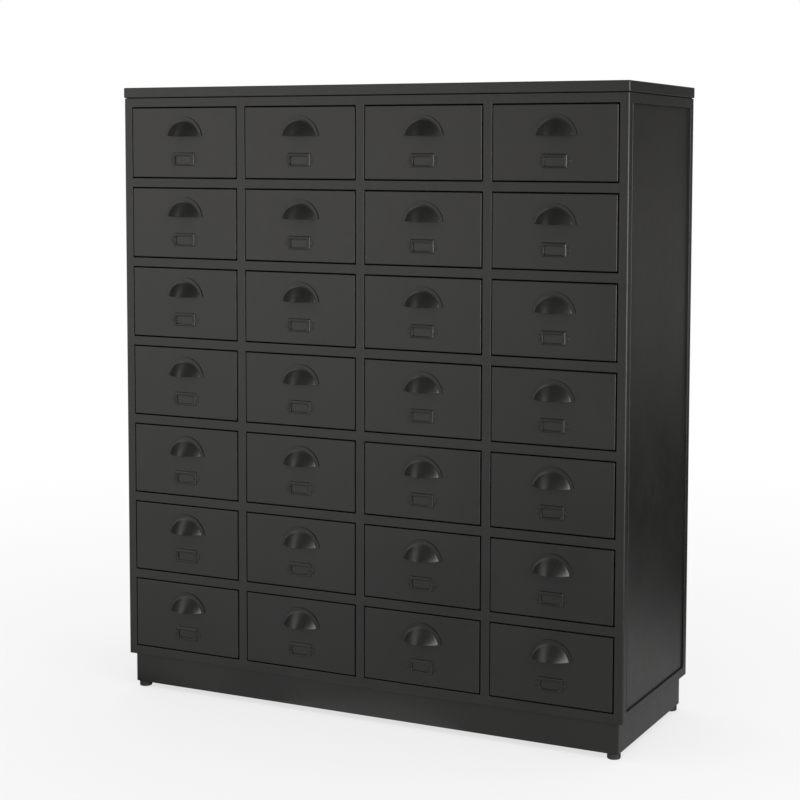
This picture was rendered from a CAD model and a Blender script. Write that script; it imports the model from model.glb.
# %% [markdown]
# # A heavy-duty drawer cabinet
#
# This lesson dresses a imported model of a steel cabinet: a welded frame of square tube, a folded top
# cap, sheet steel panels, a recessed plinth on four feet, and 28 drawers with cup pulls and card
# frames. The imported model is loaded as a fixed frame, and every visible shape is laid over it in the
# same place, in metres: X to the right, Y to the back and Z up. Shapes are worked out with numpy as
# whole arrays of points. All of them wear one satin black powder coat with small differences.

import bmesh
import bpy
import numpy as np
from mathutils import Matrix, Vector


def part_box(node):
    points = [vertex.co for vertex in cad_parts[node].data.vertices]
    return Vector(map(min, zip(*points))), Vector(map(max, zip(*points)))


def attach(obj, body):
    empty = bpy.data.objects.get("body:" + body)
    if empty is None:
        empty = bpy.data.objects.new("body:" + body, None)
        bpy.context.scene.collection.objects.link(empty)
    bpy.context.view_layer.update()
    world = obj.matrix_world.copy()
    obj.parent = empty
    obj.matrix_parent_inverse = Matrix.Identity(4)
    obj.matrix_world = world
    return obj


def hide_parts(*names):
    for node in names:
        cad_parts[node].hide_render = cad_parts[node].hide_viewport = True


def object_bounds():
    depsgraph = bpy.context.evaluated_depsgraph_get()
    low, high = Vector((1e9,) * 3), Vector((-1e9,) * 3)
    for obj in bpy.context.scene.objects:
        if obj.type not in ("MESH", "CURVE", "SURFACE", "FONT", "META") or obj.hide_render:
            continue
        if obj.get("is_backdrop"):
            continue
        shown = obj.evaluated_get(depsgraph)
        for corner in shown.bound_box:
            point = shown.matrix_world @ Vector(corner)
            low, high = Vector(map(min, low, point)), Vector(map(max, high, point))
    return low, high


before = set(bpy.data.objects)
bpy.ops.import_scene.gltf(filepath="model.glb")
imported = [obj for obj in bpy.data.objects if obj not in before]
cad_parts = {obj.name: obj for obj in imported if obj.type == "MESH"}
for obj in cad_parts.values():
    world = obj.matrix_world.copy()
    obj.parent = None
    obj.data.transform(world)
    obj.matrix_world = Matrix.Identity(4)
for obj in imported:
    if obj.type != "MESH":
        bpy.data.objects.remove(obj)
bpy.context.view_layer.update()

# %% [markdown]
# ## Sizes that repeat
#
# A cabinet like this is a lattice: four columns and seven rows of equal openings between tubes. The
# outer faces are measured on the loaded frame, and the pitch of the openings follows from the size
# of one opening and one tube.

# %% The lattice of openings
COLUMNS, ROWS = 4, 7
TUBE = 0.020
OPENING_WIDTH, OPENING_HEIGHT = 0.275, 0.1575
COLUMN_PITCH = OPENING_WIDTH + TUBE
ROW_PITCH = OPENING_HEIGHT + TUBE

left, front, frame_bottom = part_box("post_front_left")[0]
right, back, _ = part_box("post_rear_right")[1]
frame_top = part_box("front_rails")[1].z
column_x = left + TUBE + OPENING_WIDTH / 2 + COLUMN_PITCH * np.arange(COLUMNS)
row_z = frame_bottom + TUBE + ROW_PITCH * np.arange(ROWS)[::-1]
print("openings start at", np.round(row_z * 1000, 1), "mm above the floor")

# %% [markdown]
# ## From arrays to meshes
#
# Each piece is a grid of points, or several, and its faces come by counting: every point joins its
# neighbours in the next row and column. The arrays go into the mesh in one step each. Doubled points
# along seams and at poles are then merged and the faces are turned outwards. A Weighted Normal
# modifier keeps large flat faces flat beside their small rounded edges.


# %% Helpers for meshes
def grid_faces(rows, columns, round_rows=False, round_columns=False):
    """Faces of a grid of rows x columns points; a direction that goes round joins its end to its start."""
    number = np.arange(rows * columns).reshape(rows, columns)
    if round_rows:
        number = np.vstack([number, number[:1]])
    if round_columns:
        number = np.hstack([number, number[:, :1]])
    return np.stack([number[:-1, :-1], number[:-1, 1:], number[1:, 1:], number[1:, :-1]], -1).reshape(-1, 4)


def surface(points, round_rows=False, round_columns=False):
    """A grid of points (rows, columns, 3) as a flat list of points and its faces."""
    faces = grid_faces(points.shape[0], points.shape[1], round_rows, round_columns)
    return points.reshape(-1, 3), faces


def join(parts):
    """Several (points, faces) as one: each part's faces count on from the points before it."""
    starts = np.cumsum([0] + [len(points) for points, _ in parts[:-1]])
    return (np.vstack([points for points, _ in parts]),
            np.vstack([faces + start for (_, faces), start in zip(parts, starts)]))


def moved(part, x=0.0, y=0.0, z=0.0):
    points, faces = part
    return points + np.array([x, y, z]), faces


def new_mesh(name, points, faces):
    """Writes points (n, 3) and faces (m, 4) into a mesh as whole arrays."""
    mesh = bpy.data.meshes.new(name)
    mesh.vertices.add(len(points))
    mesh.vertices.foreach_set("co", np.ascontiguousarray(points, np.float32).ravel())
    mesh.loops.add(faces.size)
    mesh.loops.foreach_set("vertex_index", np.ascontiguousarray(faces, np.int32).ravel())
    mesh.polygons.add(len(faces))
    mesh.polygons.foreach_set("loop_start", np.arange(0, faces.size, 4, dtype=np.int32))
    mesh.update(calc_edges=True)
    mesh.validate()
    return mesh


def add_object(name, data):
    """A new object in the scene."""
    item = bpy.data.objects.new(name, data)
    bpy.context.scene.collection.objects.link(item)
    return item


def close_seams(mesh, outwards=True):
    """Merges doubled points and turns the faces of closed shells outwards."""
    work = bmesh.new()
    work.from_mesh(mesh)
    bmesh.ops.remove_doubles(work, verts=work.verts, dist=2e-6)
    bmesh.ops.dissolve_degenerate(work, edges=work.edges, dist=1e-7)
    if outwards:
        bmesh.ops.recalc_face_normals(work, faces=work.faces)
    work.to_mesh(mesh)
    work.free()


def piece(name, part, body, material, replaces, closed=True):
    """A finished piece: its mesh, finish, body, slot and the nodes that it replaces."""
    mesh = new_mesh(name, *part)
    close_seams(mesh, closed)
    mesh.shade_smooth()
    mesh.materials.append(material)
    item = add_object(name, mesh)
    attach(item, body)
    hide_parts(*replaces)
    if closed:
        even_normals(item)
    return item


def even_normals(item):
    """Weighs each point's normal by the size of the faces round it."""
    item.modifiers.new("even_normals", "WEIGHTED_NORMAL").weight = 100


def round_edges(item, name, method, width, segments):
    """A Bevel over the edges that the method picks, and then even normals."""
    bevel = item.modifiers.new(name, "BEVEL")
    bevel.limit_method, bevel.angle_limit = method, np.radians(55)
    bevel.width, bevel.segments = width, segments
    even_normals(item)


# %% [markdown]
# ## The powder coat
#
# Powder coat is dry paint melted onto the steel in an oven, a satin skin with a faint orange peel a
# millimetre or two across. In one flat colour, the large faces would look like plastic. So a wide
# noise shifts the colour and the gloss by a few per cent, a fine one is the orange peel, and a sparse
# one leaves the odd grain of dust under the paint. The frame's coat adds the ground welds: where
# tubes meet, the surface is faintly uneven.


# %% Node helpers
class Nodes:
    """A short way to write a material's nodes."""

    def __init__(self, name):
        self.material = bpy.data.materials.new(name)
        self.material.use_nodes = True
        self.tree = self.material.node_tree
        self.shader = next(n for n in self.tree.nodes if n.type == "BSDF_PRINCIPLED")
        self.place = self.add("ShaderNodeTexCoord").outputs["Object"]

    def add(self, kind, **values):
        node = self.tree.nodes.new(kind)
        for key, value in values.items():
            setattr(node, key, value)
        return node

    def link(self, source, target):
        self.tree.links.new(source, target)

    def feed(self, socket, value):
        if isinstance(value, bpy.types.NodeSocket):
            self.link(value, socket)
        else:
            socket.default_value = value

    def noise(self, scale, detail):
        node = self.add("ShaderNodeTexNoise")
        self.link(self.place, node.inputs["Vector"])
        node.inputs["Scale"].default_value = scale
        node.inputs["Detail"].default_value = detail
        return node.outputs["Fac"]

    def math(self, operation, a, b=0.0):
        node = self.add("ShaderNodeMath", operation=operation)
        for socket, value in zip(node.inputs, (a, b)):
            self.feed(socket, value)
        return node.outputs[0]

    def spread(self, value, low, high, to_low, to_high, smooth=False):
        """Maps value from low..high to to_low..to_high, and keeps it there."""
        node = self.add("ShaderNodeMapRange", interpolation_type="SMOOTHSTEP" if smooth else "LINEAR")
        for name, number in (("Value", value), ("From Min", low), ("From Max", high),
                             ("To Min", to_low), ("To Max", to_high)):
            self.feed(node.inputs[name], number)
        return node.outputs["Result"]

    def mix(self, factor, first, second):
        node = self.add("ShaderNodeMix", data_type="RGBA")
        self.feed(node.inputs["Factor"], factor)
        for name, colour in (("A", first), ("B", second)):
            socket = next(s for s in node.inputs if s.name == name and s.type == "RGBA")
            self.feed(socket, colour)
        return next(s for s in node.outputs if s.type == "RGBA")

    def bump(self, height, distance, strength, under=None):
        node = self.add("ShaderNodeBump")
        self.feed(node.inputs["Height"], height)
        node.inputs["Distance"].default_value = distance
        node.inputs["Strength"].default_value = strength
        if under is not None:
            self.link(under, node.inputs["Normal"])
        return node.outputs["Normal"]

    def coat(self, colour, rough, normal):
        """Links the three to the shader and hands back the material."""
        for name, source in (("Base Color", colour), ("Roughness", rough), ("Normal", normal)):
            self.link(source, self.shader.inputs[name])
        return self.material

    def split(self):
        """The three coordinates of a place."""
        node = self.add("ShaderNodeSeparateXYZ")
        self.link(self.place, node.inputs[0])
        return node.outputs

    def show(self, surface):
        """Shows another shader in place of the usual one."""
        self.tree.nodes.remove(self.shader)
        output = next(node for node in self.tree.nodes if node.type == "OUTPUT_MATERIAL")
        self.link(surface, output.inputs["Surface"])


# %% The coats
def powder_coat(name, colour, gloss, welds=False):
    """Satin powder coat: colour and gloss drift in wide patches, orange peel and dust grains as bumps."""
    n = Nodes(name)
    wide = n.noise(5.0, 3.0)
    fine = n.noise(620.0, 1.5)
    dust = n.noise(260.0, 0.0)
    grains = n.spread(dust, 0.80, 0.84, 0.0, 1.0, smooth=True)
    pale = tuple(1.16 * c for c in colour) + (1.0,)
    deep = tuple(0.86 * c for c in colour) + (1.0,)
    tone = n.mix(n.spread(wide, 0.3, 0.7, 0.0, 1.0), deep, pale)
    tone = n.mix(n.math("MULTIPLY", grains, 0.5), tone, (0.06, 0.06, 0.058, 1.0))
    rough = n.spread(wide, 0.3, 0.7, gloss - 0.03, gloss + 0.03)
    rough = n.math("ADD", rough, n.spread(n.noise(48.0, 2.0), 0.3, 0.7, -0.02, 0.02))
    normal = n.bump(fine, 0.00003, 0.55)
    normal = n.bump(grains, 0.00006, 0.6, normal)
    if welds:
        x, _, z = n.split()
        level = n.math("SUBTRACT", z, float(frame_bottom) + TUBE / 2 - 10 * ROW_PITCH)
        near_z = n.math("PINGPONG", level, ROW_PITCH / 2)
        near_x = n.math("PINGPONG", n.math("ADD", x, 10 * COLUMN_PITCH), COLUMN_PITCH / 2)
        patch = n.math("MULTIPLY", n.spread(near_x, 0.010, 0.030, 1.0, 0.0, smooth=True),
                       n.spread(near_z, 0.010, 0.026, 1.0, 0.0, smooth=True))
        ground = n.math("MULTIPLY", n.noise(95.0, 2.0), patch)
        normal = n.bump(ground, 0.0006, 0.8, normal)
    n.shader.inputs["IOR"].default_value = 1.5
    return n.coat(tone, rough, normal)


frame_coat = powder_coat("frame_coat", (0.0125, 0.0122, 0.0115), 0.36, welds=True)
sheet_coat = powder_coat("sheet_coat", (0.0128, 0.0125, 0.0117), 0.34)
pull_coat = powder_coat("pull_coat", (0.0085, 0.0083, 0.0078), 0.34)
tray_coat = powder_coat("tray_coat", (0.0180, 0.0176, 0.0168), 0.42)
print("coats:", frame_coat.name, sheet_coat.name, pull_coat.name, tray_coat.name)

# %% [markdown]
# ## Zinc and rubber
#
# The weld nuts, the corner plates and the screws keep their zinc. Zinc plate is a soft grey metal
# with small crystals, so its gloss and tint change from spot to spot. The feet are black rubber,
# duller than the coat, a little dusty near the floor.


# %% Zinc and foot pad
def zinc_plate(name):
    """A metal whose cells are a little lighter or darker and more or less polished."""
    n = Nodes(name)
    cells = n.add("ShaderNodeTexVoronoi")
    n.link(n.place, cells.inputs["Vector"])
    cells.inputs["Scale"].default_value = 420.0
    cell = n.add("ShaderNodeSeparateColor")
    n.link(cells.outputs["Color"], cell.inputs[0])
    n.shader.inputs["Metallic"].default_value = 1.0
    return n.coat(n.mix(cell.outputs[0], (0.42, 0.43, 0.44, 1), (0.60, 0.61, 0.62, 1)),
                  n.spread(cell.outputs[1], 0.0, 1.0, 0.28, 0.46), n.bump(n.noise(900.0, 2.0), 0.00002, 0.5))


def foot_rubber(name):
    """Dull black, dustier towards the floor."""
    n = Nodes(name)
    z = n.split()[2]
    dust = n.math("MULTIPLY", n.spread(z, 0.0, 0.009, 1.0, 0.0), n.spread(n.noise(240.0, 3.0), 0.35, 0.7, 0.0, 0.6))
    return n.coat(n.mix(dust, (0.018, 0.018, 0.018, 1), (0.034, 0.033, 0.031, 1)),
                  n.spread(n.noise(160.0, 2.0), 0.3, 0.7, 0.55, 0.75), n.bump(n.noise(700.0, 2.0), 0.00005, 0.6))


zinc = zinc_plate("zinc_plate")
rubber = foot_rubber("foot_rubber")

# %% [markdown]
# ## The welded frame
#
# On the real cabinet the posts, rails and short uprights are lengths of square tube, welded flush
# and ground smooth, so they read as one lattice. Separate tubes would show a groove at every joint.
# Instead, the lines of the lattice cut space into cells, some are full, and the skin lies wherever a
# full cell meets an empty one. A Bevel modifier then rolls the edges: 3 mm on the four outer corners,
# as the photograph shows by their broad highlight, and 1.2 mm elsewhere, which also fills the inner
# corners as a weld does.


# %% Skin of a block of cells
def skin_of_cells(lines, solid):
    """Faces where a full cell meets an empty one, and the edges with one or three full cells round them."""
    number = np.arange(np.prod([len(line) for line in lines])).reshape([len(line) for line in lines])
    full = np.pad(solid, 1)
    faces, edges = [], []
    for axis in range(3):
        order = (axis, (axis + 1) % 3, (axis + 2) % 3)
        n, f = np.transpose(number, order), np.transpose(full, order)
        before, after = f[:-1, 1:-1, 1:-1], f[1:, 1:-1, 1:-1]
        quads = np.stack([n[:, :-1, :-1], n[:, 1:, :-1], n[:, 1:, 1:], n[:, :-1, 1:]], -1)
        faces += [quads[before & ~after], quads[~before & after][:, ::-1]]
        around = f[1:-1].astype(int)
        around = around[:, :-1, :-1] + around[:, 1:, :-1] + around[:, :-1, 1:] + around[:, 1:, 1:]
        sharp = (around == 1) | (around == 3)
        edges.append(np.stack([n[:-1], n[1:]], -1)[sharp])
    points = np.stack(np.meshgrid(*lines, indexing="ij"), -1).reshape(-1, 3)
    faces, edges = np.vstack(faces), np.vstack(edges)
    used = np.unique(faces)
    return points[used], np.searchsorted(used, faces), np.searchsorted(used, edges)


def lattice_lines(start, opening, pitch, count, end):
    """Start, then both faces of every opening, then the end."""
    low = start + TUBE + pitch * np.arange(count)
    return np.concatenate([[start], np.stack([low, low + opening], 1).ravel(), [end]])


# %% Build the welded frame
lines = (lattice_lines(left, OPENING_WIDTH, COLUMN_PITCH, COLUMNS, right),
         np.array([front, front + TUBE, back - TUBE, back]),
         lattice_lines(frame_bottom, OPENING_HEIGHT, ROW_PITCH, ROWS, frame_top))
solid = np.zeros([len(line) - 1 for line in lines], bool)
solid[:, 0, :] = True
solid[1::2, 0, 1::2] = False
for side in (0, -1):
    solid[side, 2, :] = True
    solid[:, 2, side] = True
    solid[0, 1, side] = solid[-1, 1, side] = True

points, faces, sharp = skin_of_cells(lines, solid)
FRAME_EDGE, POST_EDGE = 0.0012, 0.003
mesh = new_mesh("welded_frame", points, faces)
pairs = np.empty(2 * len(mesh.edges), np.int32)
mesh.edges.foreach_get("vertices", pairs)
pairs = np.sort(pairs.reshape(-1, 2), 1)
keys = pairs[:, 0] * len(points) + pairs[:, 1]
sharp = np.sort(sharp, 1)
weight = np.isin(keys, sharp[:, 0] * len(points) + sharp[:, 1]) * (FRAME_EDGE / POST_EDGE)
ends = points[pairs]
at_side = (np.abs(np.abs(ends[:, :, 0]) - right) < 1e-5).all(1)
at_face = ((np.abs(ends[:, :, 1] - front) < 1e-5) | (np.abs(ends[:, :, 1] - back) < 1e-5)).all(1)
upright = np.abs(ends[:, 0, 2] - ends[:, 1, 2]) > 1e-5
weight[at_side & at_face & upright] = 1.0
mesh.attributes.new("bevel_weight_edge", "FLOAT", "EDGE").data.foreach_set("value", weight.astype(np.float32))
mesh.shade_smooth()
mesh.materials.append(frame_coat)
welded_frame = add_object("welded_frame", mesh)
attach(welded_frame, "carcass")
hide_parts("post_front_left", "post_front_right", "post_rear_left", "post_rear_right",
            "front_rails", "front_stiles", "side_rails", "rear_rails")
round_edges(welded_frame, "rolled_edges", "WEIGHT", POST_EDGE, 4)
print("welded frame:", int(solid.sum()), "full cells,", len(faces), "faces before the edges are rolled")

# %% [markdown]
# ## Folded sheet
#
# The cap, the drawer fronts, the trays, the plinth and the card frames are all sheet, folded round a
# rectangle. Each could be a box with its edges bevelled, but then inside and outside never agree.
# Here one profile is carried round a rectangle with rounded corners. A loop is written once as four
# numbers a point: (a, b) is the place on a square from -1 to 1, and (c, s) the way outwards. A
# station of the profile then has half sizes, a corner radius and a height, and its loop is
# (a (half x - r) + c r, b (half y - r) + s r). A flat middle is a plain grid that meets the last loop
# point for point.


# %% Loops round a rectangle
def loop_pattern(along_x, along_y, corner=4):
    """One turn round a rectangle, anticlockwise from its lower left, a quarter turn shared out at each corner."""
    rows = []
    for k in range(4):
        angle = np.pi / 2 * (k - 1)
        out = np.round([np.cos(angle), np.sin(angle)])
        way = np.array([-out[1], out[0]])
        step = np.linspace(-1, 1, (along_y if k % 2 else along_x) + 1)[1:-1, None]
        rows.append(np.hstack([out + step * way, np.tile(out, (len(step), 1))]))
        turn = angle + np.linspace(0, np.pi / 2, corner + 1)[:, None]
        rows.append(np.hstack([np.tile(out + way, (corner + 1, 1)), np.cos(turn), np.sin(turn)]))
    return np.vstack(rows).T


def loops(pattern, half_x, half_y, radius, height):
    """A loop of points for each station of the profile."""
    a, b, c, s = pattern
    half_x, half_y, radius, height = (v[:, None] for v in np.broadcast_arrays(
        *(np.atleast_1d(np.asarray(v, float)) for v in (half_x, half_y, radius, height))))
    x = a * (half_x - radius) + c * radius
    y = b * (half_y - radius) + s * radius
    return np.stack([x, y, height + 0 * x], -1)


def sheet_grid(half_x, half_y, along_x, along_y, height, swell=None):
    """A flat rectangle as a grid; swell(x, y) adds a little height to it."""
    x, y = np.meshgrid(np.linspace(-1, 1, along_x + 1) * half_x, np.linspace(-1, 1, along_y + 1) * half_y)
    z = np.full_like(x, height) + (swell(x, y) if swell else 0.0)
    return np.stack([x, y, z], -1)


def two_skins(edge, flat, first, second, swell=None):
    """Loops round the edge, and a flat middle at each of two heights."""
    return join([surface(edge, round_columns=True), surface(sheet_grid(*flat, first, swell)),
                 surface(sheet_grid(*flat, second, swell))])


def slab(cuts, half_x, half_y, corner, tall):
    """A closed slab: from the middle of its foot over its edge to the middle of its top."""
    out = np.array([0, 1, 1, 0])
    return surface(loops(loop_pattern(*cuts), half_x * out, half_y * out, corner * out, [0, 0, tall, tall]),
                   round_columns=True)


def arc(radius, start, end, steps=4):
    """Points along a circle round the origin, as two rows; the angles are in degrees."""
    angle = np.radians(np.linspace(start, end, steps + 1))
    return np.array([radius * np.cos(angle), radius * np.sin(angle)])


def channel(tall, radius, sheet, lip, flange=()):
    """A folded channel's insets and heights: over the upper fold, down, in to the lip, and back inside."""
    fold, inner = radius - arc(radius, 0, 90), radius - arc(radius - sheet, 0, 90, 2)
    inset = [flange, fold[0][::-1], fold[0], [lip, lip], inner[0][::-1], inner[0], flange]
    height = [[tall] * len(flange), tall - fold[1][::-1], fold[1], [0, sheet], inner[1][::-1], tall - inner[1],
              [tall - sheet] * len(flange)]
    return np.concatenate(inset), np.concatenate(height)


def long_waves(random, count, fewest, most):
    """A sum of waves in u and v; each has its own number of turns and its own start."""
    turns, shift = random.uniform(fewest, most, (2, count)), random.uniform(0, 2 * np.pi, (2, count))
    return lambda u, v: sum(np.sin(turns[0, k] * 2 * u + shift[0, k]) * np.sin(turns[1, k] * 2 * v + shift[1, k])
                            for k in range(count)) / 2


def facing_front(part):
    """Turns a piece made flat, seen from above, so that its X and Y lie in the front and its height comes forward."""
    points, faces = part
    return np.stack([points[:, 0], -points[:, 2], points[:, 1]], -1), faces


def facing_side(part, way=1):
    """Turns a flat piece so that its X and Y lie in the cabinet's side and its height points way along X."""
    points, faces = part
    return np.stack([way * points[:, 2], points[:, 0], points[:, 1]], -1), faces


# %% [markdown]
# ## The top cap
#
# The cap is one sheet, folded down on all four sides and in again underneath, and it sits 1 mm above
# the frame on small pads, which leaves the thin shadow line under it. Its profile runs over the fold,
# down the skirt, round the lower fold to the edge of the inner flange, and back on the inside.

# %% Fold the cap
cap_low, cap_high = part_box("top_cap")
cap_half = (cap_high - cap_low) / 2
CAP_SHEET, CAP_FOLD, CAP_CORNER, CAP_RETURN, CAP_SAG = 0.0015, 0.0022, 0.0035, 0.022, 0.0004
CAP_CUTS = (48, 16)
cap_tall = cap_high.z - cap_low.z
inset, height = channel(cap_tall, CAP_FOLD, CAP_SHEET, CAP_RETURN)
corner = np.maximum(CAP_CORNER - inset, 0)
cap_loops = loops(loop_pattern(*CAP_CUTS), cap_half.x - inset, cap_half.y - inset, corner, height)


def cap_swell(x, y):
    """Sheet steel is never quite flat: a few tenths of a millimetre, fading to nothing at the folds."""
    fade = (1 - (x / cap_half.x) ** 2) * (1 - (y / cap_half.y) ** 2)
    return -CAP_SAG * fade * (1 + 0.5 * np.sin(5.1 * x + 0.7) * np.cos(7.0 * y))


flat = (cap_half.x - CAP_FOLD, cap_half.y - CAP_FOLD, *CAP_CUTS)
cap = two_skins(cap_loops, flat, cap_tall, cap_tall - CAP_SHEET, cap_swell)
cap = moved(cap, y=(cap_low.y + cap_high.y) / 2, z=cap_low.z)
piece("top_cap_sheet", cap, "carcass", sheet_coat, ["top_cap"])
print("top cap:", len(cap[1]), "faces")

# %% The pads that carry the cap
PAD_SIDE, PAD_CORNER = 0.014, 0.002
pad_height = cap_low.z - frame_top
pads = [moved(slab((2, 2, 4), PAD_SIDE / 2, PAD_SIDE / 2, PAD_CORNER, pad_height), x, y, frame_top)
        for x in (left + TUBE / 2, right - TUBE / 2) for y in (front + TUBE / 2, back - TUBE / 2)]
piece("cap_pads", join(pads), "carcass", frame_coat,
      ["post_front_left", "post_front_right", "post_rear_left", "post_rear_right"])
print("cap pads:", len(pads), "of", round(pad_height * 1000, 2), "mm")

# %% [markdown]
# ## Side panels and back panel
#
# These are plain sheets, set 3 mm back between posts and rails. A sheet that is welded round its edge
# buckles slightly, and on satin black that shows as soft changes of tone. So each panel is a grid
# whose height follows a few long waves, under a millimetre high, that die out at the edges.


# %% Panels with a slight buckle
def panel(half_x, half_y, thick, along_x, along_y, buckle, seed):
    """Two skins that follow the same long waves, joined by a rim."""
    waves = long_waves(np.random.default_rng(seed), 4, 0.6, 2.2)

    def swell(x, y):
        u, v = x / half_x, y / half_y
        return buckle * waves(u, v) * (1 - u ** 4) * (1 - v ** 4)

    rim = loops(loop_pattern(along_x, along_y, 1), half_x, half_y, 0.0, [0.0, -thick])
    return two_skins(rim, (half_x, half_y, along_x, along_y), 0.0, -thick, swell)


def stand_panel(name, node, way, buckle, seed, along):
    """Stands a panel in the place of a node; way is the side it faces, as a sign along X, or 0 for the back."""
    low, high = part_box(node)
    size, middle = high - low, (high + low) / 2
    if way:
        part = facing_side(panel(size.y / 2, size.z / 2, size.x, *along, buckle, seed), way)
        part = moved(part, high.x if way > 0 else low.x, middle.y, middle.z)
    else:
        points, faces = panel(size.x / 2, size.z / 2, size.y, *along, buckle, seed)
        part = moved((points[:, [0, 2, 1]], faces), middle.x, high.y, middle.z)
    piece(name, part, "carcass", sheet_coat, [node])


SIDE_BUCKLE, BACK_BUCKLE = 0.0005, 0.0006
SIDE_CUTS, BACK_CUTS = (20, 60), (60, 60)
stand_panel("side_sheet_left", "side_panel_left", -1, SIDE_BUCKLE, 11, SIDE_CUTS)
stand_panel("side_sheet_right", "side_panel_right", 1, SIDE_BUCKLE, 12, SIDE_CUTS)
stand_panel("back_sheet", "back_panel", 0, BACK_BUCKLE, 13, BACK_CUTS)
print("panels stand 3 mm behind the frame's faces")

# %% The bead round each side panel
# A thin bead of weld, ground and painted over, follows the step between frame and panel. It stands
# out less than a millimetre, and draws the second bright line beside the corner post.
BEAD, BEAD_SINK, BEAD_CORNER = 0.0009, 0.0003, 0.002
for side, way in (("left", -1), ("right", 1)):
    low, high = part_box(f"side_panel_{side}")
    half, middle = (high - low) / 2, (high + low) / 2
    turn = np.radians(np.arange(0, 360, 45))
    reach = BEAD * np.cos(turn)
    ring = loops(loop_pattern(8, 24, 3), half.y + reach, half.z + reach, BEAD_CORNER, BEAD * np.sin(turn) - BEAD_SINK)
    bead = facing_side(surface(ring, round_rows=True, round_columns=True), way)
    piece(f"side_bead_{side}", moved(bead, way * right, middle.y, middle.z), "carcass", frame_coat,
          [f"side_panel_{side}"])
print("beads:", BEAD * 2000, "mm wide")

# %% [markdown]
# ## The plinth
#
# The four plinth boards are folded to a C, with a wide flange above that carries the frame and a
# narrow lip below. The same C carried once round the rectangle gives all four with closed corners.

# %% Carry the plinth's profile round
plinth_low, plinth_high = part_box("plinth_front")
rear_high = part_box("plinth_rear")[1]
PLINTH_SHEET, PLINTH_FLANGE, PLINTH_LIP, PLINTH_FOLD, PLINTH_CORNER = 0.0015, 0.030, 0.008, 0.0022, 0.0025
tall = plinth_high.z - plinth_low.z
half_x, half_y = plinth_high.x, (rear_high.y - plinth_low.y) / 2
inset, height = channel(tall, PLINTH_FOLD, PLINTH_SHEET, PLINTH_LIP, [PLINTH_FLANGE])
corner = np.maximum(PLINTH_CORNER - inset, 0)
plinth = surface(loops(loop_pattern(40, 14), half_x - inset, half_y - inset, corner, height),
                 round_rows=True, round_columns=True)
plinth = moved(plinth, y=(plinth_low.y + rear_high.y) / 2, z=plinth_low.z)
piece("plinth_ring", plinth, "carcass", sheet_coat,
      ["plinth_front", "plinth_rear", "plinth_left", "plinth_right"])
print("plinth:", len(plinth[1]), "faces round four boards")

# %% [markdown]
# ## Turned pieces: feet, screws and rivets
#
# A foot's pad, a screw head and a rivet are all turned on a lathe: a profile of radius and height
# goes round an axis. In a thread the radius also depends on the angle: the ridge climbs by one pitch
# in each turn. The cross in a screw head is cut into the height, wherever a point lies near one of
# two crossed lines.


# %% Lathe and thread
def turned(radius, height, count):
    """A profile of radii and heights turned about Z; it starts and ends on the axis."""
    angle = 2 * np.pi * np.arange(count) / count
    radius, height = np.asarray(radius)[:, None], np.asarray(height)[:, None]
    return surface(np.stack([radius * np.cos(angle), radius * np.sin(angle), height + 0 * angle], -1),
                   round_columns=True)


def thread(radius, low, high, pitch, depth, count=24, steps=8):
    """A screw stem: the radius falls by depth as a wave of height / pitch less the share of a turn."""
    angle = 2 * np.pi * np.arange(count) / count
    height = np.linspace(low, high, int((high - low) / pitch * steps) + 1)[:, None]
    wave = np.abs(2 * ((height / pitch - angle / (2 * np.pi)) % 1.0) - 1)
    size = radius - depth * wave
    body = np.stack([size * np.cos(angle), size * np.sin(angle), height + 0 * angle], -1)
    body = np.concatenate([body[:1] * [0, 0, 1], body, body[-1:] * [0, 0, 1]])
    return surface(body, round_columns=True)


def screw_head(radius, rise, cross, count=48):
    """A domed head with a crossed recess: height falls where the point is near either line of the cross."""
    share = np.concatenate([np.linspace(0, 1, 13), [1.0]])[:, None]
    angle = 2 * np.pi * np.arange(count) / count
    x, y = share * radius * np.cos(angle), share * radius * np.sin(angle)
    height = rise * np.sqrt(1 - 0.55 * share ** 2) + 0 * angle
    near = np.minimum(np.abs(x), np.abs(y))
    reach = np.maximum(np.abs(x), np.abs(y))
    hole = np.clip((cross * 0.30 - near) / (cross * 0.12), 0, 1) * np.clip((cross - reach) / (cross * 0.2), 0, 1)
    height = height - 0.55 * rise * hole
    height[-1] = 0.0
    top = np.stack([x, y, height], -1)
    return surface(np.concatenate([top, top[-1:] * [0, 0, 0]]), round_columns=True)


# %% The feet
STEM_RADIUS, STEM_START, THREAD_PITCH, THREAD_DEPTH = 0.005, 0.0107, 0.0015, 0.0006
PAD_PROFILE = np.array([(0, 11.8, 13.1, 13.8, 14.0, 14.0, 13.7, 13.0, 12.0, 5.2, 5.2, 0),
                        (0, 0, 0.5, 1.4, 2.4, 9.8, 10.8, 11.7, 12.0, 12.0, 10.5, 10.5)]) / 1000
for corner_name in ("front_left", "front_right", "rear_left", "rear_right"):
    node = f"foot_{corner_name}"
    low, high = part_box(node)
    middle = (low + high) / 2
    pad = moved(turned(*PAD_PROFILE, 40), middle.x, middle.y, low.z)
    piece(f"{node}_pad", pad, node, rubber, [node])
    stem = moved(thread(STEM_RADIUS, STEM_START, high.z, THREAD_PITCH, THREAD_DEPTH), middle.x, middle.y, 0)
    piece(f"{node}_stem", stem, node, zinc, [node])
print("feet: pads", 2000 * PAD_PROFILE[0].max(), "mm across")

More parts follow.
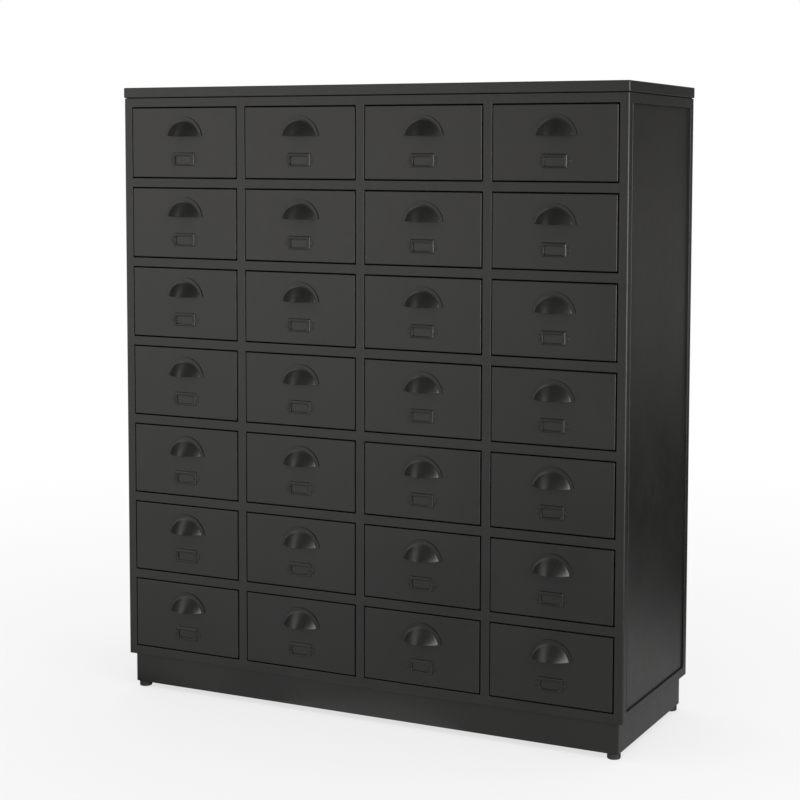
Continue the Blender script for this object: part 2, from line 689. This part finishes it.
# %% The back panel's screws
screws_low, screws_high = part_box("back_panel_screws")
HEAD_RADIUS, HEAD_RISE, HEAD_CROSS = 0.004, 0.0024, 0.0026
BACK_SCREW_ROWS = 5
back_screw = screw_head(HEAD_RADIUS, HEAD_RISE, HEAD_CROSS)
spread_z = np.linspace(screws_low.z + HEAD_RADIUS, screws_high.z - HEAD_RADIUS, BACK_SCREW_ROWS)
spread_x = np.linspace(screws_low.x + HEAD_RADIUS, screws_high.x - HEAD_RADIUS, COLUMNS - 1)
heads = []
for k, (x, z) in enumerate((x, z) for x in spread_x for z in spread_z):
    turn = Matrix.Rotation(0.7 * k, 3, "Z")
    points = back_screw[0] @ np.array(turn).T
    heads.append((np.stack([x - points[:, 0], screws_high.y - HEAD_RISE + points[:, 2], z + points[:, 1]], -1),
                  back_screw[1]))
piece("back_screws", join(heads), "carcass", zinc, ["back_panel_screws"])
print("back screws:", len(heads))

# %% [markdown]
# ## A drawer, made once
#
# All drawers are alike, so each of their pieces is worked out once, in a drawer's own place: X 0 in
# the middle of the opening, Y 0 at the frame's face and Z 0 on the opening's floor. The front is a
# sheet with its four edges folded back 15 mm. A fold's radius is a little over the sheet's thickness,
# and that small round catches the light as a thin line along each edge. The fronts are made a little
# smaller than their openings ask, and sit 0.6 mm further left, for gaps as in the photograph.

# %% The drawer front
FRONT_GAP, FRONT_SHEET, FRONT_RETURN, FRONT_FOLD = 0.0015, 0.0012, 0.015, 0.0016
FRONT_EASE, FRONT_SHIFT, FRONT_CORNER, FRONT_BUCKLE = 0.0008, -0.0006, 0.002, 0.00009
FRONT_CUTS, FRONT_SEED = (22, 14), 100
front_half_x = OPENING_WIDTH / 2 - FRONT_GAP - FRONT_EASE
front_half_z = OPENING_HEIGHT / 2 - FRONT_GAP - FRONT_EASE


def drawer_front(seed):
    """The folded front, its face a tenth of a millimetre out of flat in its own way."""
    fold, inner = arc(FRONT_FOLD, 90, 0), arc(FRONT_FOLD - FRONT_SHEET, 0, 90, 2)
    inset = np.concatenate([FRONT_FOLD - fold[0], [0.0, FRONT_SHEET], FRONT_FOLD - inner[0]])
    height = np.concatenate([fold[1] - FRONT_FOLD, [-FRONT_RETURN, -FRONT_RETURN], inner[1] - FRONT_FOLD])
    corner = np.maximum(FRONT_CORNER - inset, 0)
    edge = loops(loop_pattern(*FRONT_CUTS, 3), front_half_x - inset, front_half_z - inset, corner, height)
    waves = long_waves(np.random.default_rng(seed), 3, 0.7, 1.8)

    def swell(x, y):
        u, v = x / front_half_x, y / front_half_z
        return FRONT_BUCKLE * (waves(u, v) - 0.6) * np.clip(1 - u ** 6, 0, 1) * np.clip(1 - v ** 6, 0, 1)

    flat = (front_half_x - FRONT_FOLD, front_half_z - FRONT_FOLD, *FRONT_CUTS)
    part = two_skins(edge, flat, 0.0, -FRONT_SHEET, swell)
    return moved(facing_front(part), x=FRONT_SHIFT, z=OPENING_HEIGHT / 2)


# %% [markdown]
# ## The tray
#
# Behind the front is a box folded from one sheet. Its rim is rolled over to a small bead, and the
# bends along the floor have a radius too. Near the back a lug stands up from each side wall: it
# meets the frame at full travel and stops the drawer.

# %% The tray and its lugs
TRAY_SHEET, TRAY_BEND, TRAY_BEAD, TRAY_CORNER, TRAY_CUTS = 0.001, 0.0022, 0.0011, 0.003, (12, 16)
LUG_BACK, LUG_UP, LUG_HALF, LUG_CORNER = 0.3285, 0.1437, (0.008, 0.021), 0.003
tray_half_x = front_half_x - FRONT_SHEET
TRAY_FRONT, TRAY_BACK, TRAY_FLOOR, TRAY_TALL = 0.0012, 0.3785, 0.0027, 0.142
tray_half_y = (TRAY_BACK - TRAY_FRONT) / 2


def tray():
    """Floor, outer bend, wall, beaded rim, wall and inner bend, carried round the tray."""
    bend, inner = arc(TRAY_BEND, -90, 0), arc(TRAY_BEND - TRAY_SHEET, 0, -90, 3)
    bead = arc(TRAY_BEAD, 0, 225, 8)
    inset = np.concatenate([TRAY_BEND - bend[0], TRAY_BEAD - bead[0], [TRAY_SHEET], TRAY_BEND - inner[0]])
    height = np.concatenate([TRAY_BEND + bend[1], TRAY_TALL - TRAY_BEAD + bead[1],
                             [TRAY_TALL - 2.6 * TRAY_BEAD], TRAY_BEND + inner[1]])
    corner = np.maximum(TRAY_CORNER - inset, 0)
    walls = loops(loop_pattern(*TRAY_CUTS, 3), tray_half_x - inset, tray_half_y - inset, corner, height)
    flat = (tray_half_x - TRAY_BEND, tray_half_y - TRAY_BEND, *TRAY_CUTS)
    shell = moved(two_skins(walls, flat, 0.0, TRAY_SHEET), y=(TRAY_FRONT + TRAY_BACK) / 2, z=TRAY_FLOOR)
    lug = moved(facing_side(slab((4, 4, 4), *LUG_HALF, LUG_CORNER, TRAY_SHEET)), y=LUG_BACK, z=LUG_UP)
    return join([shell, moved(lug, x=tray_half_x - TRAY_SHEET), moved(lug, x=-tray_half_x)])


# %% [markdown]
# ## The cup pull
#
# The pull is pressed from sheet: a domed cup, open below for the fingers, on an arched flange. Seen
# from the front it is a set of arcs round one axis, so its rings are arcs cut off by the level of
# the lip. The flange stands out 1.9 mm everywhere. The cup is the mean of two forms: one is turned
# about the axis with a slightly domed section, and the other is drawn out with a straight slope from
# the arc above. The drawn one gives the upright bands that such cups mirror. A smooth maximum of
# flange and cup leaves the fillet between them. Inside the last ring, straight columns run down to
# the lip. Solidify gives the sheet its thickness, and a Bevel rounds the lip and the flange's edge.

# %% The cup pull's skin
PULL_WIDTH, PULL_TALL, PULL_DROP, FREE_EDGE = 0.096, 0.0435, 0.020, 0.0006
CUP_WIDTH, CUP_TALL, CUP_DEPTH, CUP_CURVE = 0.082, 0.0353, 0.024, 0.150
FLANGE_RISE, PULL_SHEET, FILLET = 0.0019, 0.0013, 0.0026
FLANGE_STEP, CUP_OUTSIDE, CUP_INSIDE = 0.0014, 0.0036, 0.0048
pull_low = OPENING_HEIGHT - PULL_DROP - PULL_TALL
pull_radius = (PULL_WIDTH ** 2 / 4 + PULL_TALL ** 2) / (2 * PULL_TALL)
cup_radius = (CUP_WIDTH ** 2 / 4 + CUP_TALL ** 2) / (2 * CUP_TALL)
axis_drop = cup_radius - CUP_TALL
chord = np.hypot(CUP_DEPTH, CUP_TALL)
offset = np.sqrt(CUP_CURVE ** 2 - chord ** 2 / 4)
centre_in = offset * CUP_TALL / chord - CUP_DEPTH / 2
centre_up = cup_radius - CUP_TALL / 2 - offset * CUP_DEPTH / chord


def stands_out(x, height):
    """The smooth maximum of the flange and the cup: max plus (fillet - difference)^2 / 4 fillets."""
    domed = np.sqrt(CUP_CURVE ** 2 - (np.hypot(x, height) - centre_up) ** 2) - centre_in
    drawn = CUP_DEPTH / CUP_TALL * (np.sqrt(np.clip(cup_radius ** 2 - x ** 2, 0, None)) - height)
    cup = (domed + drawn) / 2
    gap = np.abs(cup - FLANGE_RISE)
    return np.maximum(cup, FLANGE_RISE) + np.clip(FILLET - gap, 0, None) ** 2 / (4 * FILLET)


def cup_pull():
    """Arcs from the flange's edge to the cup's foot, then columns from the last arc down to the lip."""
    share = np.linspace(-1, 1, 57)
    flange = [pull_radius, pull_radius - FLANGE_STEP]
    rings = np.concatenate([flange, np.linspace(cup_radius + CUP_OUTSIDE, cup_radius - CUP_INSIDE, 14)])[:, None]
    first = np.arcsin(axis_drop / rings)
    angle = np.pi / 2 - share * (np.pi / 2 - first)
    ring_x, ring_z = rings * np.cos(angle), rings * np.sin(angle) - axis_drop
    down = np.linspace(0, 1, 17)[:, None]
    x = np.vstack([ring_x, (ring_x[-1] + 0 * down)[1:]])
    z = np.vstack([ring_z, (ring_z[-1] * (1 - down))[1:]])
    out = stands_out(x, z + axis_drop)
    points, faces = surface(np.stack([x, -out, z + pull_low], -1))
    return points, faces[:, ::-1]


def press(item, inwards, edge):
    """Gives a skin its sheet thickness and rounds its free edges."""
    thick = item.modifiers.new("sheet", "SOLIDIFY")
    thick.thickness = inwards
    thick.offset = -1.0
    thick.use_even_offset = True
    round_edges(item, "free_edges", "ANGLE", edge, 3)


# %% [markdown]
# ## The card frame
#
# The card frame is a pressed border with a window. Its profile climbs from the drawer front to a
# rounded bead and falls to the window's edge, and the loop goes from a sharp outer rectangle to a
# window with round corners. The border is a little narrower than the plate, and its window sits a
# little low in it. The upper side stays open behind, so that a card can be slid in. Two ears beside
# it are riveted to the drawer front.

# %% The card frame, its ears and its rivets
CARD_WIDTH, CARD_TALL, CARD_DROP = 0.058, 0.0285, 0.1005
CARD_SLIM, CARD_LOW, CARD_SHARP, CARD_ROUND = 0.0018, 0.0018, 0.0010, 0.0030
SLOT_DEPTH, SLOT_TOP, SLOT_SIDE, EAR_SHEET, EAR_OUT = 0.0011, 0.0045, 0.0038, 0.0008, 0.0010
RIVET_RADIUS, RIVET_RISE, RIVET_FOOT, RIVETS_WIDER = 0.0021, 0.0004, 0.0007, 0.006
PULL_SCREW, PULL_SCREW_UP = (0.003, 0.002, 0.0020), 0.004
card_middle = OPENING_HEIGHT - CARD_DROP - CARD_TALL / 2


def card_frame():
    """Stations across the border: how far in, steeper at the sides, and how far out; the lists are in mm."""
    inset = np.array([0, 0, 0.2, 0.8, 1.7, 2.7, 3.5, 4.6, 5.3, 5.7, 5.7, 5.6, 4.0, 4.0]) / 1000
    steep = inset.copy()
    steep[7:9] = 0.0050, 0.0055
    out = np.array([0, 0.8, 1.4, 2.1, 2.6, 2.8, 2.7, 2.3, 2.1, 1.5, 1.3, 1.2, 1.2, 0]) / 1000
    half_x, half_z = CARD_WIDTH / 2 - CARD_SLIM, CARD_TALL / 2
    share = inset / inset.max()
    points = loops(loop_pattern(14, 8, 4), half_x - steep, half_z - inset, CARD_SHARP + CARD_ROUND * share, out)
    points[:, :, 1] -= CARD_LOW * share[:, None]
    in_slot = (points[:, :, 1] > half_z - SLOT_TOP) & (np.abs(points[:, :, 0]) < half_x - SLOT_SIDE)
    points[in_slot, 2] = np.maximum(points[in_slot, 2], SLOT_DEPTH)
    border = surface(points, round_rows=True, round_columns=True)
    ears = []
    for way in (-1, 1):
        ear = loops(loop_pattern(3, 4, 4), [0, 0.0046, 0.0050, 0.0050, 0.0046, 0],
                    [0, 0.0061, 0.0065, 0.0065, 0.0061, 0], [0, 0.0016, 0.002, 0.002, 0.0016, 0],
                    [0, 0, 0.0002, 0.0006, EAR_SHEET, EAR_SHEET])
        ears.append(moved(surface(ear, round_columns=True), x=way * (CARD_WIDTH / 2 + EAR_OUT)))
    return moved(facing_front(join([border, *ears])), z=card_middle)


def rivets():
    """Two domed heads on the ears."""
    dome = arc(1, 90, 0, 5)
    dome = turned(np.append(RIVET_RADIUS * dome[0], [RIVET_RADIUS, 0]),
                  np.append(EAR_SHEET + RIVET_RISE * dome[1], [RIVET_FOOT, RIVET_FOOT]), 20)
    return moved(facing_front(join([moved(dome, x=way * (CARD_WIDTH + RIVETS_WIDER) / 2) for way in (-1, 1)])),
                 z=card_middle)


def pull_screws():
    """Two screw heads inside the tray, that hold the pull from behind."""
    points, faces = screw_head(*PULL_SCREW, 32)
    head = np.stack([points[:, 0], points[:, 2] + FRONT_SHEET + TRAY_SHEET, points[:, 1]], -1), faces
    return join([moved(head, x=way * (PULL_WIDTH + CUP_WIDTH) / 4, z=pull_low + PULL_SCREW_UP) for way in (-1, 1)])


# %% [markdown]
# ## Twenty-eight drawers
#
# Now each opening gets its six pieces, moved to their place as arrays. They ride on the drawer's own
# body, so the whole drawer slides together. Only the drawer at the top left is several nodes in the
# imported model.

# %% Fill the openings
HELD = {"pull_screws": "cup_pull", "rivets": "card_frame"}
tray_part, pull_part, card_part = tray(), cup_pull(), card_frame()
rivet_part, screw_part = rivets(), pull_screws()
for row in range(ROWS):
    for column in range(COLUMNS):
        body = f"drawer_r{row + 1}c{column + 1}"
        apart = f"{body}_tray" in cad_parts
        at = (column_x[column], front, row_z[row])
        makes = (("tray", tray_part, tray_coat, "powder_coat"),
                 ("front", drawer_front(FRONT_SEED + 10 * row + column), sheet_coat, "powder_coat"),
                 ("cup_pull", pull_part, pull_coat, "fittings"), ("pull_screws", screw_part, zinc, "zinc"),
                 ("card_frame", card_part, pull_coat, "fittings"), ("rivets", rivet_part, tray_coat, "fittings"))
        for word, part, finish, slot in makes:
            node = f"{body}_{HELD.get(word, word)}" if apart else body
            name = f"{word}_r{row + 1}c{column + 1}"
            pressed = word == "cup_pull"
            item = piece(name, moved(part, *at), body, finish, [node], closed=not pressed)
            if pressed:
                press(item, PULL_SHEET, FREE_EDGE)
print("drawers:", ROWS * COLUMNS, "with", len(tray_part[1]), "faces to a tray and", len(pull_part[1]), "to a pull")

# %% [markdown]
# ## The parts that stay as they came
#
# The runners, the uprights behind the back panel, the bottom panel, the corner plates and the nuts
# are plain pieces, seen only past an open drawer or from below. They only get their finish.

# %% Dress the remaining nodes
finishes = {"plinth_corner_plates": zinc, "foot_nuts": zinc}
for name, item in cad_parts.items():
    if not item.hide_render:
        item.data.materials.clear()
        item.data.materials.append(finishes.get(name, tray_coat))
        print("kept:", name)

# %% [markdown]
# ## Floor, light and camera
#
# The cabinet stands on a pale floor in a white room, so the world is plain white, and a colour
# renders about as it is written. Black satin paint mostly shows a mirror image of the room, and
# photographers hang cards and black cloth round a black piece to shape that image. The tent below
# stands for those cards, and only reflections see it. It is pale at the front left, which the fronts
# mirror, greyer behind, and dark at the left, at the rear right and overhead, which the side panel
# and the cups mirror. High up at the far left it is pale again, for the upright band in the lower
# cups. A wide card at the right draws the bright ends of the cups and the lines along the edges.

# %% The world
WORLD_LEVEL = 0.75
world = bpy.data.worlds.new("studio")
bpy.context.scene.world = world
world.use_nodes = True
nodes, links = world.node_tree.nodes, world.node_tree.links
background = next(n for n in nodes if n.type == "BACKGROUND")
background.inputs["Color"].default_value = (1.0, 1.0, 1.0, 1.0)
path = nodes.new("ShaderNodeLightPath")
seen = path.outputs["Is Camera Ray"]
for ray in ("Is Glossy Ray", "Is Transmission Ray"):
    total = nodes.new("ShaderNodeMath")
    total.operation, total.use_clamp = "ADD", True
    links.new(seen, total.inputs[0])
    links.new(path.outputs[ray], total.inputs[1])
    seen = total.outputs[0]
level = nodes.new("ShaderNodeMapRange")
level.inputs["To Min"].default_value = WORLD_LEVEL
level.inputs["To Max"].default_value = 1.0
links.new(seen, level.inputs["Value"])
links.new(level.outputs["Result"], background.inputs["Strength"])
print("world: white where it is seen, and", WORLD_LEVEL, "as a light")


# %% The floor
FLOOR_NEAR, FLOOR_FAR, FLOOR_LIFT, FLOOR_GREY = 0.6, 3.5, 0.70, 0.86


def floor_white():
    """Part of it is plain lit paint, and the rest is white to the eye and in reflections."""
    n = Nodes("floor_white")
    paint = n.add("ShaderNodeBsdfDiffuse")
    paint.inputs["Color"].default_value = (FLOOR_GREY, FLOOR_GREY, FLOOR_GREY, 1.0)
    glow = n.add("ShaderNodeEmission")
    glow.inputs["Color"].default_value = (1.0, 1.0, 1.0, 1.0)
    path = n.add("ShaderNodeLightPath")
    seen = n.math("MAXIMUM", path.outputs["Is Camera Ray"], path.outputs["Is Glossy Ray"])
    seen = n.math("MAXIMUM", seen, path.outputs["Is Transmission Ray"])
    x, y, _ = n.split()
    far = n.math("SQRT", n.math("ADD", n.math("MULTIPLY", x, x), n.math("MULTIPLY", y, y)))
    share = n.spread(far, FLOOR_NEAR, FLOOR_FAR, FLOOR_LIFT, 1.0, smooth=True)
    blend = n.add("ShaderNodeMixShader")
    n.link(n.math("MULTIPLY", seen, share), blend.inputs["Fac"])
    n.link(paint.outputs[0], blend.inputs[1])
    n.link(glow.outputs[0], blend.inputs[2])
    n.show(blend.outputs[0])
    return n.material


bpy.ops.mesh.primitive_plane_add(size=60)
floor = bpy.context.object
floor.name = "floor"
floor.data.materials.append(floor_white())
floor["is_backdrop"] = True


# %% The lamps
def softbox(name, place, aim, size, power, lights=True, mirrored=True):
    """A soft area lamp at a place, turned to an aim: it lights things, or is mirrored in them, or both."""
    lamp = bpy.data.lights.new(name, "AREA")
    lamp.shape = "RECTANGLE"
    lamp.size, lamp.size_y = size
    lamp.energy = power
    item = add_object(name, lamp)
    forward = np.array(aim, float) - np.array(place, float)
    forward /= np.linalg.norm(forward)
    side = np.cross(forward, [0, 0, 1.0] if abs(forward[2]) < 0.99 else [0, 1.0, 0])
    side /= np.linalg.norm(side)
    up = np.cross(side, forward)
    item.matrix_world = Matrix([[side[i], up[i], -forward[i], place[i]] for i in range(3)] + [[0, 0, 0, 1]])
    item.visible_camera = False
    item.visible_diffuse = lights
    item.visible_glossy = mirrored


softbox("right_card", (3.35, -2.11, 1.05), (0.3, -0.2, 1.05), (5.2, 1.5), 140, lights=False)
softbox("right_softbox", (3.2, -1.5, 1.2), (0.3, 0.0, 0.6), (1.8, 1.8), 25, mirrored=False)
softbox("overhead_lamp", (0.0, -0.3, 3.6), (0.0, 0.0, 0.0), (5.0, 5.0), 45, mirrored=False)

# %% The tent of cards
# Each card fills a sector, from one azimuth to another, and the tent blends between them. Azimuth 0
# is the front, 90 the right and 180 the back. A ring is its radius, height and tint, and a grey in per
# cent for each card. The greys were chosen by hand, by what each part of the cabinet mirrors.
SECTORS = ((-180, -140), (-118, -72), (-64, -37), (-29, -23), (-17, 50), (75, 122), (142, 160), (172, 180))
CARDS = ("rear", "left", "far_left", "front_left", "front", "right", "rear_right")
WARM, PLAIN = (1.0, 0.985, 0.955), (1.0, 1.0, 1.0)
RINGS = (
    (0.3, 0.003, PLAIN, (45, 15, 46, 50, 42, 45, 40)),
    (0.8, 0.003, PLAIN, (45, 12, 52, 60, 42, 40, 26)),
    (1.5, 0.003, PLAIN, (40, 10, 60, 72, 42, 40, 4)),
    (3.0, 0.003, PLAIN, (40, 8, 74, 90, 42, 45, 0)),
    (5.0, 0.003, PLAIN, (50, 8, 86, 105, 42, 60, 2)),
    (8.0, 0.003, PLAIN, (65, 12, 102, 125, 45, 70, 16)),
    (8.0, 0.6, WARM, (70, 12, 130, 160, 46, 75, 18)),
    (8.0, 1.5, WARM, (70, 12, 150, 185, 46, 75, 0)),
    (8.0, 2.3, WARM, (60, 12, 110, 115, 33, 65, 0)),
    (8.0, 3.2, WARM, (50, 12, 100, 30, 15, 50, 0)),
    (8.0, 5.0, WARM, (40, 10, 200, 20, 15, 40, 5)),
    (7.2, 5.7, WARM, (45, 10, 200, 30, 20, 50, 20)),
    (6.0, 6.5, WARM, (50, 12, 50, 35, 35, 60, 40)),
    (4.5, 6.8, WARM, (45, 12, 15, 20, 20, 45, 38)),
    (3.0, 7.0, WARM, (40, 12, 10, 10, 10, 30, 35)),
    (0.0, 7.1, PLAIN, (8, 8, 8, 8, 8, 8, 8)),
)


def tent():
    """Rings of points joined from the floor up the wall to the ceiling, with a grey at each point."""
    azimuth = np.linspace(-180, 180, 181)
    turn = np.radians(azimuth)
    points = np.stack([np.stack([radius * np.sin(turn), -radius * np.cos(turn), 0 * turn + height], -1)
                       for radius, height, _, _ in RINGS])
    grey = np.stack([np.interp(azimuth, np.ravel(SECTORS), np.repeat(greys + greys[:1], 2) / 100)[:, None] * tint
                     for _, _, tint, greys in RINGS])
    mesh = new_mesh("tent", *surface(points))
    colour = mesh.color_attributes.new("grey", "FLOAT_COLOR", "POINT")
    rgba = np.concatenate([grey, np.ones_like(grey[..., :1])], -1)
    colour.data.foreach_set("color", rgba.astype(np.float32).ravel())
    n = Nodes("tent_cards")
    glow = n.add("ShaderNodeEmission")
    n.link(n.add("ShaderNodeAttribute", attribute_name="grey").outputs["Color"], glow.inputs["Color"])
    n.show(glow.outputs[0])
    mesh.materials.append(n.material)
    item = add_object("tent", mesh)
    item.visible_camera = item.visible_diffuse = item.visible_shadow = False
    item.visible_transmission = item.visible_volume_scatter = False
    item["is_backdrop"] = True


tent()
print("tent:", len(CARDS), "cards on", len(RINGS), "rings, seen only in reflections")

# %% [markdown]
# The camera was found by fitting a pinhole camera to some forty straight edges and corners of the
# cabinet. It stands 1.2 m above the floor, to the right, and looks slightly down. Its picture is
# shifted a little, as the photograph's frame is not centred on the lens axis.

# %% The camera
PICTURE = 800
FOCAL, CENTRE_X, CENTRE_Y = 1773.893, 470.0, 295.0
YAW, PITCH, ROLL = 0.440764, -0.0757811, -0.0045552
CAMERA_PLACE = (1.804186, -3.279065 + float(front), 1.206087)
SENSOR = 36.0

camera_data = bpy.data.cameras.new("camera")
camera_data.sensor_width = SENSOR
camera_data.lens = SENSOR * FOCAL / PICTURE
camera_data.shift_x = (PICTURE / 2 - CENTRE_X) / PICTURE
camera_data.shift_y = -(PICTURE / 2 - CENTRE_Y) / PICTURE
camera_data.dof.use_dof = False
camera_data.clip_start, camera_data.clip_end = 0.05, 100.0
camera = add_object("camera", camera_data)
turn = Matrix.Rotation(YAW, 4, "Z") @ Matrix.Rotation(PITCH, 4, "X") @ Matrix.Rotation(ROLL, 4, "Y")
camera.matrix_world = Matrix([[turn[i][0], turn[i][2], -turn[i][1], CAMERA_PLACE[i]] for i in range(3)]
                             + [[0, 0, 0, 1]])
bpy.context.scene.camera = camera
bpy.context.scene.view_settings.view_transform = "Standard"
print("camera: lens", round(camera_data.lens, 1), "mm at", np.round(CAMERA_PLACE, 3))

# %% [markdown]
# ## Finish
#
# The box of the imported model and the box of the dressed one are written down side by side, so that
# any growth shows at once. The last line checks the frame and writes the table of pieces.

# %% Sizes and the last check
low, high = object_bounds()
